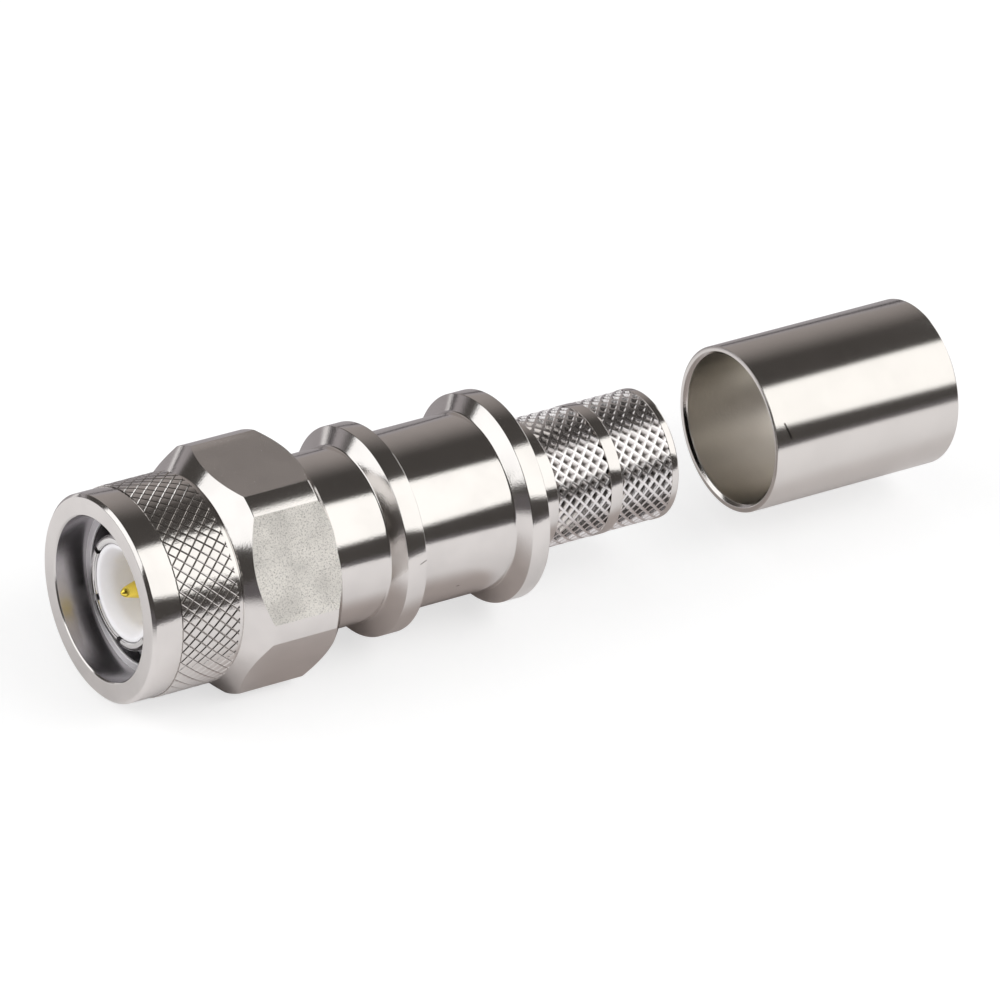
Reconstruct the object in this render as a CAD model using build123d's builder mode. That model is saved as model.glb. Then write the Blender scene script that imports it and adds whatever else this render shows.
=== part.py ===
"""Coaxial crimp plug with a threaded, knurled coupling nut, and its loose crimp ferrule.

The plug's axis is X. The origin is the centre of the coupling nut's mouth, +X runs back
towards the cable, and one flat of the nut's hexagon faces down, as the plug lies on a table.
"""

from build123d import *
import os
from math import cos, radians, sin

# Coupling nut, outside
NUT_RING_RADIUS = 7.2
NUT_RING_LENGTH = 2.25
NUT_RING_EDGE = 0.22
NUT_KNURL_LENGTH = 4.45
NUT_KNURL_ROOT_RISE = 0.02
NUT_KNURL_HEIGHT = 0.22
NUT_KNURL_COUNT = 52
NUT_KNURL_PITCH = 0.95
NUT_LAND_DROP = 0.1
NUT_LAND_LENGTH = 0.55
NUT_CONE_LENGTH = 1.45
NUT_ACROSS_FLATS = 15.88
NUT_CORNER_RISE = 0.74
NUT_TAIL_LENGTH = 1.48

# Coupling nut, inside: 7/16-28 thread, bare at its minor diameter
THREAD_MINOR_RADIUS = 5.16
THREAD_LENGTH = 6.7
MOUTH_RELIEF = 0.62
MOUTH_DEPTH = 2.5
RELIEF_DEPTH = 0.54
RELIEF_LENGTH = 1.0

# Plug body
SPIGOT_LENGTH = 2.2
BARREL_RADIUS = 6.2
BARREL_LENGTH = 9.05
WAIST_RADIUS = 6.3
WAIST_LENGTH = 8.0
FLANGE_HEIGHT = 1.17
FLANGE_CONE_LENGTH = 0.68
FRONT_FLANGE_RIM = 1.47
REAR_FLANGE_RIM = 1.42
CABLE_BORE_RADIUS = 3.75
CABLE_BORE_SETBACK = 0.6

# Crimp neck, with two bands of knurled pits parted by a plain ring
NECK_WALL = 0.95
COLLAR_LENGTH = 2.56
FRONT_BAND_LENGTH = 4.4
PLAIN_RING_LENGTH = 0.95
REAR_BAND_LENGTH = 4.17
NECK_END_LENGTH = 0.58
PIT_CREST_DROP = 0.03
PIT_DEPTH = 0.34
PIT_COUNT = 30
PIT_PITCH = 0.905

# Snap ring that holds the nut on the body
SNAP_RING_SETBACK = 1.6
SNAP_RING_THICKNESS = 0.9
SNAP_RING_DEPTH_IN_BODY = 0.6
SNAP_RING_REACH = 0.5
SNAP_RING_GAP_ANGLE = 26.0

# Outer contact: a thin sleeve with spring fingers
CONTACT_RADIUS = 4.05
CONTACT_WALL = 0.58
CONTACT_REACH = 6.5
CONTACT_SEAT_DEPTH = 2.8
FINGER_SLOT_WIDTH = 0.45
FINGER_SLOT_DEPTH = 4.6
FINGER_COUNT = 6
FINGER_SLOT_ANGLE = 25.0
FINGER_NOSE = 0.2

# Insulators
CUP_SETBACK = 0.2
CUP_LIP = 0.35
CUP_FUNNEL_DEPTH = 0.8
CUP_RADIUS = 2.55
CUP_DEPTH = 5.3
FRONT_INSULATOR_LENGTH = 13.1
BEAD_GAP = 1.0
BEAD_LENGTH = 4.0

# Centre contact
PIN_RADIUS = 0.675
PIN_TIP_LEAD = 0.1
PIN_TIP_LENGTH = 1.45
PIN_TIP_RADIUS = 0.12
PIN_NOSE_LENGTH = 0.32
PIN_NOSE_RADIUS = 0.34
PIN_BARREL_RADIUS = 1.85
PIN_BARREL_LENGTH = 8.4
WIRE_BORE_RADIUS = 1.4
WIRE_BORE_DEPTH = 5.6
SIGHT_HOLE_RADIUS = 0.45
SIGHT_HOLE_SETBACK = 2.3

# Gasket
GASKET_THICKNESS = 1.0

# Crimp ferrule, drawn off behind the neck
FERRULE_WALL = 0.6
FERRULE_LENGTH = 15.75
FERRULE_STANDOFF = 7.45
FERRULE_INNER_BEVEL = 0.25

# Fits
SEAT_CLEARANCE = 0.02
RUNNING_CLEARANCE = 0.05
GROOVE_CLEARANCE = 0.12
SPIGOT_CLEARANCE = 0.16
AXIAL_PLAY = 0.2
GASKET_CLEARANCE = 0.1
BRAID_ROOM = 0.75
CUTTER_MARGIN = 1.0

# Stations along the axis, worked out from the sizes above
NUT_KNURL_START = NUT_RING_LENGTH
NUT_LAND_START = NUT_KNURL_START + NUT_KNURL_LENGTH
NUT_CONE_START = NUT_LAND_START + NUT_LAND_LENGTH
NUT_HEX_START = NUT_CONE_START + NUT_CONE_LENGTH
THREAD_END = MOUTH_DEPTH + THREAD_LENGTH
REAR_BORE_START = THREAD_END + RELIEF_LENGTH

BARREL_START = REAR_BORE_START + AXIAL_PLAY
SPIGOT_START = BARREL_START - SPIGOT_LENGTH
SNAP_RING_START = BARREL_START + SNAP_RING_SETBACK
SNAP_RING_END = SNAP_RING_START + SNAP_RING_THICKNESS
NUT_GROOVE_END = SNAP_RING_END + GROOVE_CLEARANCE
NUT_LENGTH = NUT_GROOVE_END + NUT_TAIL_LENGTH

FRONT_FLANGE_START = BARREL_START + BARREL_LENGTH
FRONT_RIM_START = FRONT_FLANGE_START + FLANGE_CONE_LENGTH
FRONT_RIM_END = FRONT_RIM_START + FRONT_FLANGE_RIM
REAR_FLANGE_START = FRONT_RIM_END + WAIST_LENGTH
REAR_RIM_START = REAR_FLANGE_START + FLANGE_CONE_LENGTH
REAR_RIM_END = REAR_RIM_START + REAR_FLANGE_RIM
FRONT_BAND_START = REAR_RIM_END + COLLAR_LENGTH
PLAIN_RING_START = FRONT_BAND_START + FRONT_BAND_LENGTH
REAR_BAND_START = PLAIN_RING_START + PLAIN_RING_LENGTH
NECK_END_START = REAR_BAND_START + REAR_BAND_LENGTH
NECK_END = NECK_END_START + NECK_END_LENGTH
FERRULE_START = NECK_END + FERRULE_STANDOFF
FERRULE_END = FERRULE_START + FERRULE_LENGTH

CONTACT_START = SPIGOT_START - CONTACT_REACH
CONTACT_END = SPIGOT_START + CONTACT_SEAT_DEPTH
CUP_FRONT = CONTACT_START + CUP_SETBACK
CUP_FLOOR = CUP_FRONT + CUP_DEPTH
CUP_REAR = CUP_FRONT + FRONT_INSULATOR_LENGTH
BEAD_START = CUP_REAR + BEAD_GAP
BEAD_END = BEAD_START + BEAD_LENGTH
PIN_TIP = CUP_FRONT - PIN_TIP_LEAD
PIN_BARREL_END = CUP_REAR + PIN_BARREL_LENGTH
CABLE_BORE_START = PIN_BARREL_END + CABLE_BORE_SETBACK

# Radii, worked out from the sizes above
NUT_KNURL_ROOT_RADIUS = NUT_RING_RADIUS + NUT_KNURL_ROOT_RISE
NUT_KNURL_CREST_RADIUS = NUT_KNURL_ROOT_RADIUS + NUT_KNURL_HEIGHT
NUT_LAND_RADIUS = NUT_RING_RADIUS - NUT_LAND_DROP
NUT_FLAT_RADIUS = NUT_ACROSS_FLATS / 2
NUT_STOCK_RADIUS = NUT_FLAT_RADIUS + NUT_CORNER_RISE
MOUTH_RADIUS = THREAD_MINOR_RADIUS + MOUTH_RELIEF
RELIEF_RADIUS = THREAD_MINOR_RADIUS + RELIEF_DEPTH
REAR_BORE_RADIUS = BARREL_RADIUS + RUNNING_CLEARANCE

SPIGOT_RADIUS = THREAD_MINOR_RADIUS - SPIGOT_CLEARANCE
FLANGE_RADIUS = WAIST_RADIUS + FLANGE_HEIGHT
NECK_RADIUS = CABLE_BORE_RADIUS + NECK_WALL
PIT_CREST_RADIUS = NECK_RADIUS - PIT_CREST_DROP
PIT_FLOOR_RADIUS = PIT_CREST_RADIUS - PIT_DEPTH
BAND_CORE_RADIUS = (PIT_FLOOR_RADIUS + CABLE_BORE_RADIUS) / 2
BODY_GROOVE_RADIUS = BARREL_RADIUS - SNAP_RING_DEPTH_IN_BODY
SNAP_RING_INNER_RADIUS = BODY_GROOVE_RADIUS + SEAT_CLEARANCE
SNAP_RING_OUTER_RADIUS = BARREL_RADIUS + SNAP_RING_REACH
NUT_GROOVE_RADIUS = SNAP_RING_OUTER_RADIUS + GROOVE_CLEARANCE

CONTACT_SEAT_RADIUS = CONTACT_RADIUS + SEAT_CLEARANCE
CONTACT_BORE_RADIUS = CONTACT_RADIUS - CONTACT_WALL
INSULATOR_RADIUS = CONTACT_BORE_RADIUS - SEAT_CLEARANCE
PIN_BORE_RADIUS = PIN_RADIUS + SEAT_CLEARANCE
BEAD_BORE_RADIUS = PIN_BARREL_RADIUS + SEAT_CLEARANCE
FERRULE_BORE_RADIUS = NECK_RADIUS + BRAID_ROOM
FERRULE_RADIUS = FERRULE_BORE_RADIUS + FERRULE_WALL


def knurled_band(start, length, node_radius, centre_radius, count, pitch):
    """A solid bar whose skin is a diamond knurl of flat triangles.

    The helical lines cross at nodes of node_radius. Each diamond between them rises or sinks
    to a point of centre_radius, so one rule makes both raised points and sunk pits.
    """
    rows = 2 * max(1, round(length / pitch))
    columns = 2 * count

    def point(row, column):
        radius = node_radius if (row + column) % 2 == 0 else centre_radius
        angle = radians(360 * (column % columns) / columns)
        return Vector(start + length * row / rows, radius * cos(angle), radius * sin(angle))

    faces = []
    for row in range(rows + 1):
        for column in range(columns):
            if (row + column) % 2 == 0:
                continue
            centre = point(row, column)
            sides = (point(row, column - 1), point(row, column + 1))
            for next_row in (row - 1, row + 1):
                if not 0 <= next_row <= rows:
                    continue
                tip = point(next_row, column)
                for side in sides:
                    faces.append(Face(Wire.make_polygon([centre, side, tip])))
    for row in (0, rows):
        faces.append(Face(Wire.make_polygon([point(row, column) for column in range(columns)])))
    return Solid(Shell(faces))


def profile(*points):
    """Draw a closed half section: x runs along the axis and y is the radius."""
    with BuildLine(mode=Mode.PRIVATE) as outline:
        Polyline(*points, close=True)
    make_face(outline.edges())


def tube_section(start, end, inner, outer):
    """Draw the half section of a plain ring or tube."""
    profile((start, inner), (end, inner), (end, outer), (start, outer))


# Coupling nut: a turned bar with a knurl and six milled flats, bored and threaded
with BuildPart() as coupling_nut:
    with BuildSketch(Plane.XY):
        profile(
            (0, 0),
            (0, NUT_RING_RADIUS - NUT_RING_EDGE),
            (NUT_RING_EDGE, NUT_RING_RADIUS),
            (NUT_RING_LENGTH, NUT_RING_RADIUS),
            (NUT_RING_LENGTH, MOUTH_RADIUS),
            (NUT_LAND_START, MOUTH_RADIUS),
            (NUT_LAND_START, NUT_LAND_RADIUS),
            (NUT_CONE_START, NUT_LAND_RADIUS),
            (NUT_HEX_START, NUT_STOCK_RADIUS),
            (NUT_LENGTH - NUT_CORNER_RISE, NUT_STOCK_RADIUS),
            (NUT_LENGTH, NUT_FLAT_RADIUS),
            (NUT_LENGTH, 0),
        )
    revolve(axis=Axis.X)
    with BuildSketch(Plane.YZ.offset(NUT_CONE_START)):
        Circle(NUT_STOCK_RADIUS + CUTTER_MARGIN)
        RegularPolygon(NUT_FLAT_RADIUS, 6, major_radius=False, mode=Mode.SUBTRACT)
    extrude(amount=NUT_LENGTH - NUT_CONE_START, mode=Mode.SUBTRACT)
    add(
        knurled_band(
            NUT_KNURL_START,
            NUT_KNURL_LENGTH,
            NUT_KNURL_ROOT_RADIUS,
            NUT_KNURL_CREST_RADIUS,
            NUT_KNURL_COUNT,
            NUT_KNURL_PITCH,
        )
    )
    with BuildSketch(Plane.XY):
        profile(
            (0, 0),
            (0, MOUTH_RADIUS),
            (MOUTH_DEPTH, MOUTH_RADIUS),
            (MOUTH_DEPTH, THREAD_MINOR_RADIUS),
            (THREAD_END, THREAD_MINOR_RADIUS),
            (THREAD_END, RELIEF_RADIUS),
            (REAR_BORE_START, RELIEF_RADIUS),
            (REAR_BORE_START, REAR_BORE_RADIUS),
            (SNAP_RING_START - GROOVE_CLEARANCE, REAR_BORE_RADIUS),
            (SNAP_RING_START - GROOVE_CLEARANCE, NUT_GROOVE_RADIUS),
            (NUT_GROOVE_END, NUT_GROOVE_RADIUS),
            (NUT_GROOVE_END, REAR_BORE_RADIUS),
            (NUT_LENGTH, REAR_BORE_RADIUS),
            (NUT_LENGTH, 0),
        )
    revolve(axis=Axis.X, mode=Mode.SUBTRACT)

# Plug body: barrel, two flanges and the crimp neck, turned from one bar
with BuildPart() as plug_body:
    with BuildSketch(Plane.XY):
        profile(
            (SPIGOT_START, 0),
            (SPIGOT_START, SPIGOT_RADIUS),
            (BARREL_START, SPIGOT_RADIUS),
            (BARREL_START, BARREL_RADIUS),
            (SNAP_RING_START, BARREL_RADIUS),
            (SNAP_RING_START, BODY_GROOVE_RADIUS),
            (SNAP_RING_END + SEAT_CLEARANCE, BODY_GROOVE_RADIUS),
            (SNAP_RING_END + SEAT_CLEARANCE, BARREL_RADIUS),
            (FRONT_FLANGE_START, BARREL_RADIUS),
            (FRONT_RIM_START, FLANGE_RADIUS),
            (FRONT_RIM_END, FLANGE_RADIUS),
            (FRONT_RIM_END, WAIST_RADIUS),
            (REAR_FLANGE_START, WAIST_RADIUS),
            (REAR_RIM_START, FLANGE_RADIUS),
            (REAR_RIM_END, FLANGE_RADIUS),
            (REAR_RIM_END, NECK_RADIUS),
            (FRONT_BAND_START, NECK_RADIUS),
            (FRONT_BAND_START, BAND_CORE_RADIUS),
            (PLAIN_RING_START, BAND_CORE_RADIUS),
            (PLAIN_RING_START, NECK_RADIUS),
            (REAR_BAND_START, NECK_RADIUS),
            (REAR_BAND_START, BAND_CORE_RADIUS),
            (NECK_END_START, BAND_CORE_RADIUS),
            (NECK_END_START, NECK_RADIUS),
            (NECK_END, NECK_RADIUS),
            (NECK_END, 0),
        )
    revolve(axis=Axis.X)
    for band_start, band_length in (
        (FRONT_BAND_START, FRONT_BAND_LENGTH),
        (REAR_BAND_START, REAR_BAND_LENGTH),
    ):
        add(
            knurled_band(
                band_start,
                band_length,
                PIT_CREST_RADIUS,
                PIT_FLOOR_RADIUS,
                PIT_COUNT,
                PIT_PITCH,
            )
        )
    with BuildSketch(Plane.XY):
        profile(
            (SPIGOT_START, 0),
            (SPIGOT_START, CONTACT_SEAT_RADIUS),
            (CONTACT_END, CONTACT_SEAT_RADIUS),
            (CONTACT_END, CONTACT_BORE_RADIUS),
            (CABLE_BORE_START, CONTACT_BORE_RADIUS),
            (CABLE_BORE_START, CABLE_BORE_RADIUS),
            (NECK_END, CABLE_BORE_RADIUS),
            (NECK_END, 0),
        )
    revolve(axis=Axis.X, mode=Mode.SUBTRACT)

# Snap ring: an open ring that lies in the grooves of the body and the nut
with BuildPart() as snap_ring:
    with BuildSketch(Plane.XY):
        tube_section(SNAP_RING_START, SNAP_RING_END, SNAP_RING_INNER_RADIUS, SNAP_RING_OUTER_RADIUS)
    revolve(axis=Axis.X, revolution_arc=360 - SNAP_RING_GAP_ANGLE)

# Gasket: lies on the spigot's face and seals on the rim of the mating jack
with BuildPart() as gasket:
    with BuildSketch(Plane.XY):
        tube_section(
            SPIGOT_START - GASKET_THICKNESS,
            SPIGOT_START,
            CONTACT_RADIUS + GASKET_CLEARANCE,
            SPIGOT_RADIUS,
        )
    revolve(axis=Axis.X)

# Outer contact: a sleeve pressed into the body, slotted into spring fingers
with BuildPart() as outer_contact:
    with BuildSketch(Plane.XY):
        profile(
            (CONTACT_START, CONTACT_BORE_RADIUS),
            (CONTACT_END, CONTACT_BORE_RADIUS),
            (CONTACT_END, CONTACT_RADIUS),
            (CONTACT_START + FINGER_NOSE, CONTACT_RADIUS),
            (CONTACT_START, CONTACT_RADIUS - FINGER_NOSE),
        )
    revolve(axis=Axis.X)
    with BuildSketch(Plane.YZ.offset(CONTACT_START)):
        with PolarLocations(CONTACT_RADIUS, FINGER_COUNT, FINGER_SLOT_ANGLE):
            Rectangle(2 * CONTACT_WALL + FINGER_SLOT_WIDTH, FINGER_SLOT_WIDTH)
    extrude(amount=FINGER_SLOT_DEPTH, mode=Mode.SUBTRACT)

# Front insulator: a cup that takes the jack's own insulator around the pin
with BuildPart() as front_insulator:
    with BuildSketch(Plane.XY):
        profile(
            (CUP_FRONT, INSULATOR_RADIUS - CUP_LIP),
            (CUP_FRONT + CUP_FUNNEL_DEPTH, CUP_RADIUS),
            (CUP_FLOOR, CUP_RADIUS),
            (CUP_FLOOR, PIN_BORE_RADIUS),
            (CUP_REAR, PIN_BORE_RADIUS),
            (CUP_REAR, INSULATOR_RADIUS),
            (CUP_FRONT, INSULATOR_RADIUS),
        )
    revolve(axis=Axis.X)

# Rear insulator: a bead around the centre contact's barrel
with BuildPart() as rear_insulator:
    with BuildSketch(Plane.XY):
        tube_section(BEAD_START, BEAD_END, BEAD_BORE_RADIUS, INSULATOR_RADIUS)
    revolve(axis=Axis.X)

# Centre contact: a pointed pin with a barrel for the cable's wire
with BuildPart() as centre_contact:
    with BuildSketch(Plane.XY):
        profile(
            (PIN_TIP, 0),
            (PIN_TIP, PIN_TIP_RADIUS),
            (PIN_TIP + PIN_NOSE_LENGTH, PIN_NOSE_RADIUS),
            (PIN_TIP + PIN_TIP_LENGTH, PIN_RADIUS),
            (CUP_REAR, PIN_RADIUS),
            (CUP_REAR, PIN_BARREL_RADIUS),
            (PIN_BARREL_END, PIN_BARREL_RADIUS),
            (PIN_BARREL_END, WIRE_BORE_RADIUS),
            (PIN_BARREL_END - WIRE_BORE_DEPTH, WIRE_BORE_RADIUS),
            (PIN_BARREL_END - WIRE_BORE_DEPTH, 0),
        )
    revolve(axis=Axis.X)
    with BuildSketch(Plane.XY.offset(WIRE_BORE_RADIUS / 2)):
        with Locations((PIN_BARREL_END - SIGHT_HOLE_SETBACK, 0)):
            Circle(SIGHT_HOLE_RADIUS)
    extrude(amount=PIN_BARREL_RADIUS, mode=Mode.SUBTRACT)

# Crimp ferrule: a thin plain tube, its bore bevelled at both ends
with BuildPart() as crimp_ferrule:
    with BuildSketch(Plane.XY):
        profile(
            (FERRULE_START, FERRULE_BORE_RADIUS + FERRULE_INNER_BEVEL),
            (FERRULE_START + FERRULE_INNER_BEVEL, FERRULE_BORE_RADIUS),
            (FERRULE_END - FERRULE_INNER_BEVEL, FERRULE_BORE_RADIUS),
            (FERRULE_END, FERRULE_BORE_RADIUS + FERRULE_INNER_BEVEL),
            (FERRULE_END, FERRULE_RADIUS),
            (FERRULE_START, FERRULE_RADIUS),
        )
    revolve(axis=Axis.X)

os.makedirs("parts", exist_ok=True)
for name, piece in (
    ("coupling_nut", coupling_nut),
    ("plug_body", plug_body),
    ("snap_ring", snap_ring),
    ("gasket", gasket),
    ("outer_contact", outer_contact),
    ("front_insulator", front_insulator),
    ("rear_insulator", rear_insulator),
    ("centre_contact", centre_contact),
    ("crimp_ferrule", crimp_ferrule),
):
    piece.part.label = name
    export_step(piece.part, f"parts/{name}.step")
    print(f"{name}: {piece.part.volume:.2f} mm3, {len(piece.part.solids())} solid")
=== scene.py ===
"""Dress the coaxial crimp plug: plated metal, gold pin, white insulator, studio and camera.

Every piece is made in millimetres along the plug's axis, X, and scaled to metres as its mesh
is built. Lengths that the frame knows are read from its boxes.
"""

import logging
from dataclasses import dataclass
from enum import Enum
from math import atan2, cos, hypot, pi, radians, sin
from typing import Any, Sequence

import bmesh
import bpy
from bmesh.types import BMEdge, BMesh, BMVert
from bpy.types import ID, Material, Mesh, Node, NodeSocket, NodeTree, Object
from mathutils import Matrix, Vector


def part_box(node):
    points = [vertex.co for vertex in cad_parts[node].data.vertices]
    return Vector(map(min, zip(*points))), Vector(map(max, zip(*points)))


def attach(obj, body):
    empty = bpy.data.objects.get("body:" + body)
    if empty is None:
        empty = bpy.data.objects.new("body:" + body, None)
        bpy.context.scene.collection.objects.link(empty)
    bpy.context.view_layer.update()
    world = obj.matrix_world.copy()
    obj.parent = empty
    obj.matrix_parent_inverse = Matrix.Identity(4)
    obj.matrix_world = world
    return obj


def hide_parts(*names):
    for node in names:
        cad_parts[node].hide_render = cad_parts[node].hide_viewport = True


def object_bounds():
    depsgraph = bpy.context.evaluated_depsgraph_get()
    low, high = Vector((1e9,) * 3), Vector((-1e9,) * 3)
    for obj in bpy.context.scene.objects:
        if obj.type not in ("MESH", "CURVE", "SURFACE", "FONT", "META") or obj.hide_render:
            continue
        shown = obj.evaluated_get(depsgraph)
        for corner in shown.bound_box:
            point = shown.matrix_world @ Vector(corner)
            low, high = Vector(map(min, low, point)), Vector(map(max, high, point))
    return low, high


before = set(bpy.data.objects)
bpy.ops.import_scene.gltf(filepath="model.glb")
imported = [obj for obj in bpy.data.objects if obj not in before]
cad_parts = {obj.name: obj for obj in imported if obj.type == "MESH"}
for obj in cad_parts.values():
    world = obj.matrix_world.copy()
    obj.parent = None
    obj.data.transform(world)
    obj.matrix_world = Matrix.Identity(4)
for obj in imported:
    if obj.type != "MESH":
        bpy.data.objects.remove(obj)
CAD_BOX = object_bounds()

LOG = logging.getLogger("plug")
MM = 0.001
AROUND = 256
MERGE_MM = 0.0005
SHARP_DEGREES = 24.0
FILLET_STEPS = 4
FILLET_LIMIT = 0.45
THREAD_STEPS = 96
HEX_SIDES = 6
SPARE_ROWS = 2
OVERLAP_MM = 0.1
SKIN_MM = 0.05
WHITE = (1.0, 1.0, 1.0)
BLACK = (0.0, 0.0, 0.0)
Pair = tuple[float, float]
Triple = tuple[float, float, float]
Corner = tuple[float, ...]


class Body(Enum):
    """The moving bodies that a piece can ride on."""

    PLUG = "body"
    NUT = "nut"
    FERRULE = "ferrule"


def rgba(colour: Any) -> Any:
    """Return a colour with full alpha, and a socket as it is."""
    return (*colour, 1.0) if isinstance(colour, tuple) else colour


class Value:
    """A node socket whose operators add Math nodes."""

    def __init__(self, graph: "Graph", socket: NodeSocket) -> None:
        """Keep the socket and the graph that owns it."""
        self.graph = graph
        self.socket = socket

    def __add__(self, other: Any) -> "Value":
        """Return self + other."""
        return self.graph.math("ADD", self, other)

    def __sub__(self, other: Any) -> "Value":
        """Return self - other."""
        return self.graph.math("SUBTRACT", self, other)

    def __rsub__(self, other: Any) -> "Value":
        """Return other - self."""
        return self.graph.math("SUBTRACT", other, self)

    def __mul__(self, other: Any) -> "Value":
        """Return self * other."""
        return self.graph.math("MULTIPLY", self, other)

    def __truediv__(self, other: Any) -> "Value":
        """Return self / other."""
        return self.graph.math("DIVIDE", self, other)

    __radd__ = __add__
    __rmul__ = __mul__


class Graph:
    """Adds nodes to one node tree."""

    def __init__(self, tree: NodeTree) -> None:
        """Keep the tree."""
        self.tree = tree

    def node(self, kind: str, settings: dict | None = None, inputs: dict | None = None) -> Node:
        """Add one node.

        Args:
            kind: The node's type.
            settings: Its properties, set before its sockets.
            inputs: Socket name or number to a constant, a socket or a Value.

        Returns:
            The new node.
        """
        made = self.tree.nodes.new(kind)
        for key, value in (settings or {}).items():
            setattr(made, key, value)
        self.fill(made, inputs or {})
        return made

    def fill(self, node: Node, inputs: dict) -> None:
        """Give a node's inputs their constants, sockets or Values."""
        for key, value in inputs.items():
            self.feed(node.inputs[key], value)

    def feed(self, socket: NodeSocket, value: Any) -> None:
        """Link a Value or a socket to an input, or set the input's own constant.

        Args:
            socket: The input.
            value: The Value, socket or constant.
        """
        if isinstance(value, Value):
            value = value.socket
        if isinstance(value, NodeSocket):
            self.tree.links.new(value, socket)
        else:
            socket.default_value = value

    def value(self, socket: NodeSocket) -> Value:
        """Wrap a socket, so that expressions can use it."""
        return Value(self, socket)

    def math(self, operation: str, *terms: Any) -> Value:
        """Add a Math node on the terms."""
        made = self.node("ShaderNodeMath", {"operation": operation}, dict(enumerate(terms)))
        return self.value(made.outputs[0])

    def vector(self, operation: str, *terms: Any) -> NodeSocket:
        """Add a Vector Math node on the terms and return its vector."""
        made = self.node("ShaderNodeVectorMath", {"operation": operation}, dict(enumerate(terms)))
        return made.outputs["Vector"]

    def measure(self, operation: str, *terms: Any) -> Value:
        """Add a Vector Math node on the terms and return its number."""
        made = self.node("ShaderNodeVectorMath", {"operation": operation}, dict(enumerate(terms)))
        return self.value(made.outputs["Value"])

    def combine(self, x: Any, y: Any, z: Any = 0.0) -> NodeSocket:
        """Join three numbers to a vector."""
        return self.node("ShaderNodeCombineXYZ", None, {0: x, 1: y, 2: z}).outputs[0]

    def split(self, vector: NodeSocket) -> list[Value]:
        """Split a vector into its three numbers."""
        parts = self.node("ShaderNodeSeparateXYZ", None, {0: vector})
        return [self.value(part) for part in parts.outputs]

    def smooth(self, value: Any, low: float, high: float) -> Value:
        """Return 0 below low, 1 above high and a smooth rise between them.

        Args:
            value: The number to measure.
            low: Where the rise starts.
            high: Where it ends. It may lie below low.

        Returns:
            The share, from 0 to 1.
        """
        made = self.node(
            "ShaderNodeMapRange",
            {"interpolation_type": "SMOOTHSTEP"},
            {"Value": value, "From Min": low, "From Max": high},
        )
        return self.value(made.outputs[0])

    def mix(self, factor: Any, a: Any, b: Any) -> NodeSocket:
        """Mix two colours by a factor, through a Mix node's colour sockets."""
        made = self.node("ShaderNodeMix", {"data_type": "RGBA"}, {0: factor, 6: rgba(a), 7: rgba(b)})
        return made.outputs[2]

    def noise(self, vector: Any, scale: float, detail: float = 2.0) -> Value:
        """Return the factor of a Noise Texture read at vector."""
        settings = {"Vector": vector, "Scale": scale, "Detail": detail}
        return self.value(self.node("ShaderNodeTexNoise", None, settings).outputs[0])

    def bump(self, height: Value) -> NodeSocket:
        """Return the normal of a surface that is raised by height, in millimetres."""
        settings = {"Strength": 1.0, "Distance": MM, "Height": height}
        return self.node("ShaderNodeBump", None, settings).outputs[0]

    def place(self) -> NodeSocket:
        """Return the object coordinates."""
        return self.node("ShaderNodeTexCoord").outputs["Object"]


def new_material(name: str) -> tuple[Material, Graph, Node]:
    """Make a material.

    Args:
        name: The material's name.

    Returns:
        The material, its graph and its Principled shader.
    """
    material = bpy.data.materials.new(name)
    material.use_nodes = True
    graph = Graph(material.node_tree)
    return material, graph, material.node_tree.nodes["Principled BSDF"]


@dataclass(frozen=True)
class Scratch:
    """A short dark scratch between two points of a surface. Places and width are in millimetres."""

    start: Triple
    end: Triple
    half_width: float

    def mask(self, graph: Graph, place: NodeSocket) -> Value:
        """Return 1 on the scratch and 0 beside it.

        Args:
            graph: The material's graph.
            place: The surface's place, in millimetres.

        Returns:
            The mask.
        """
        start = Vector(self.start)
        along = Vector(self.end) - start
        share = (graph.measure("DOT_PRODUCT", place, along) - start.dot(along)) / along.length_squared
        share = graph.math("MINIMUM", graph.math("MAXIMUM", share, 0.0), 1.0)
        nearest = graph.vector("MULTIPLY_ADD", share, along, start)
        gap = graph.measure("DISTANCE", place, nearest)
        return graph.smooth(gap, self.half_width, self.half_width * 0.5)


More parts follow.
